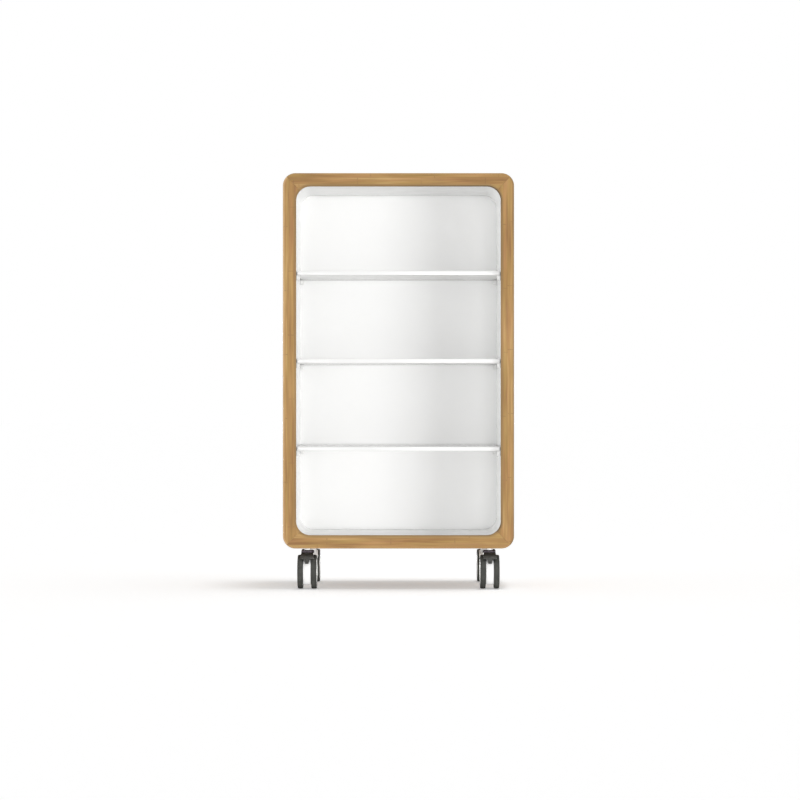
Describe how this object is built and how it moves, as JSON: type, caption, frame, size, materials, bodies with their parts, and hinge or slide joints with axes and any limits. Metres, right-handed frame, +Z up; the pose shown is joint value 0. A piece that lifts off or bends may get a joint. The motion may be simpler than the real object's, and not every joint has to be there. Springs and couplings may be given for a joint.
{
  "type": "bookcase on castors",
  "caption": "Open bamboo bookcase with mitred rounded corners, white lined inside, loose shelves on brackets and braked twin-wheel castors.",
  "frame": {"origin": "on the floor under the middle of the case", "axes": "+Z up, -Y out of the open front, +X to the right as seen from the front"},
  "size_m": [0.85, 0.451, 1.53],
  "materials": {
    "bamboo": "satin clear lacquer over laminated strips",
    "white_laminate": "smooth satin laminate",
    "white_board": "white melamine faced board, satin",
    "white_plastic": "moulded satin",
    "white_nylon": "moulded satin",
    "zinc_steel": "bright zinc",
    "dark_metal": "dark plated pressing",
    "grey_rubber": "matt dark grey tread",
    "grey_plastic": "moulded light grey",
    "black_plastic": "moulded fine grain black"
  },
  "bodies": {
    "case": {"left_side_board": "bamboo", "right_side_board": "bamboo", "top_board": "bamboo", "bottom_board": "bamboo", "lining": "white_laminate", "back_panel": "white_board", "upper_shelf": "white_board", "middle_shelf": "white_board", "lower_shelf": "white_board", "upper_left_front_bracket": "white_plastic", "upper_left_rear_bracket": "white_plastic", "upper_right_front_bracket": "white_plastic", "upper_right_rear_bracket": "white_plastic", "middle_left_front_bracket": "white_plastic", "middle_left_rear_bracket": "white_plastic", "middle_right_front_bracket": "white_plastic", "middle_right_rear_bracket": "white_plastic", "lower_left_front_bracket": "white_plastic", "lower_left_rear_bracket": "white_plastic", "lower_right_front_bracket": "white_plastic", "lower_right_rear_bracket": "white_plastic", "front_left_stem": "zinc_steel", "front_right_stem": "zinc_steel", "rear_left_stem": "zinc_steel", "rear_right_stem": "zinc_steel"},
    "front_left_swivel": {"front_left_swivel_cup": "dark_metal", "front_left_housing": "white_nylon", "front_left_axle": "zinc_steel"},
    "front_left_outer_wheel": {"front_left_outer_tyre": "grey_rubber", "front_left_outer_hub": "grey_plastic"},
    "front_left_inner_wheel": {"front_left_inner_tyre": "grey_rubber", "front_left_inner_hub": "grey_plastic"},
    "front_left_brake": {"front_left_pedal": "black_plastic"},
    "front_right_swivel": {"front_right_swivel_cup": "dark_metal", "front_right_housing": "white_nylon", "front_right_axle": "zinc_steel"},
    "front_right_outer_wheel": {"front_right_outer_tyre": "grey_rubber", "front_right_outer_hub": "grey_plastic"},
    "front_right_inner_wheel": {"front_right_inner_tyre": "grey_rubber", "front_right_inner_hub": "grey_plastic"},
    "front_right_brake": {"front_right_pedal": "black_plastic"},
    "rear_left_swivel": {"rear_left_swivel_cup": "dark_metal", "rear_left_housing": "white_nylon", "rear_left_axle": "zinc_steel"},
    "rear_left_outer_wheel": {"rear_left_outer_tyre": "grey_rubber", "rear_left_outer_hub": "grey_plastic"},
    "rear_left_inner_wheel": {"rear_left_inner_tyre": "grey_rubber", "rear_left_inner_hub": "grey_plastic"},
    "rear_left_brake": {"rear_left_pedal": "black_plastic"},
    "rear_right_swivel": {"rear_right_swivel_cup": "dark_metal", "rear_right_housing": "white_nylon", "rear_right_axle": "zinc_steel"},
    "rear_right_outer_wheel": {"rear_right_outer_tyre": "grey_rubber", "rear_right_outer_hub": "grey_plastic"},
    "rear_right_inner_wheel": {"rear_right_inner_tyre": "grey_rubber", "rear_right_inner_hub": "grey_plastic"},
    "rear_right_brake": {"rear_right_pedal": "black_plastic"}
  },
  "joints": [
    {"name": "front_left_swivel_turn", "type": "hinge", "parent": "case", "child": "front_left_swivel", "pos_m": [-0.336, -0.125, 0.14], "axis": [0, 0, 1], "continuous": true},
    {"name": "front_left_outer_wheel_roll", "type": "hinge", "parent": "front_left_swivel", "child": "front_left_outer_wheel", "pos_m": [-0.336, -0.163, 0.0625], "axis": [1, 0, 0], "continuous": true},
    {"name": "front_left_inner_wheel_roll", "type": "hinge", "parent": "front_left_swivel", "child": "front_left_inner_wheel", "pos_m": [-0.336, -0.163, 0.0625], "axis": [1, 0, 0], "continuous": true},
    {"name": "front_left_pedal_press", "type": "hinge", "parent": "front_left_swivel", "child": "front_left_brake", "pos_m": [-0.336, -0.159, 0.114], "axis": [1, 0, 0], "range_deg": [0, 6.5]},
    {"name": "front_right_swivel_turn", "type": "hinge", "parent": "case", "child": "front_right_swivel", "pos_m": [0.336, -0.125, 0.14], "axis": [0, 0, 1], "continuous": true},
    {"name": "front_right_outer_wheel_roll", "type": "hinge", "parent": "front_right_swivel", "child": "front_right_outer_wheel", "pos_m": [0.336, -0.163, 0.0625], "axis": [1, 0, 0], "continuous": true},
    {"name": "front_right_inner_wheel_roll", "type": "hinge", "parent": "front_right_swivel", "child": "front_right_inner_wheel", "pos_m": [0.336, -0.163, 0.0625], "axis": [1, 0, 0], "continuous": true},
    {"name": "front_right_pedal_press", "type": "hinge", "parent": "front_right_swivel", "child": "front_right_brake", "pos_m": [0.336, -0.159, 0.114], "axis": [1, 0, 0], "range_deg": [0, 6.5]},
    {"name": "rear_left_swivel_turn", "type": "hinge", "parent": "case", "child": "rear_left_swivel", "pos_m": [-0.336, 0.125, 0.14], "axis": [0, 0, 1], "continuous": true},
    {"name": "rear_left_outer_wheel_roll", "type": "hinge", "parent": "rear_left_swivel", "child": "rear_left_outer_wheel", "pos_m": [-0.336, 0.163, 0.0625], "axis": [1, 0, 0], "continuous": true},
    {"name": "rear_left_inner_wheel_roll", "type": "hinge", "parent": "rear_left_swivel", "child": "rear_left_inner_wheel", "pos_m": [-0.336, 0.163, 0.0625], "axis": [1, 0, 0], "continuous": true},
    {"name": "rear_left_pedal_press", "type": "hinge", "parent": "rear_left_swivel", "child": "rear_left_brake", "pos_m": [-0.336, 0.159, 0.114], "axis": [-1, 0, 0], "range_deg": [0, 6.5]},
    {"name": "rear_right_swivel_turn", "type": "hinge", "parent": "case", "child": "rear_right_swivel", "pos_m": [0.336, 0.125, 0.14], "axis": [0, 0, 1], "continuous": true},
    {"name": "rear_right_outer_wheel_roll", "type": "hinge", "parent": "rear_right_swivel", "child": "rear_right_outer_wheel", "pos_m": [0.336, 0.163, 0.0625], "axis": [1, 0, 0], "continuous": true},
    {"name": "rear_right_inner_wheel_roll", "type": "hinge", "parent": "rear_right_swivel", "child": "rear_right_inner_wheel", "pos_m": [0.336, 0.163, 0.0625], "axis": [1, 0, 0], "continuous": true},
    {"name": "rear_right_pedal_press", "type": "hinge", "parent": "rear_right_swivel", "child": "rear_right_brake", "pos_m": [0.336, 0.159, 0.114], "axis": [-1, 0, 0], "range_deg": [0, 6.5]}
  ]
}
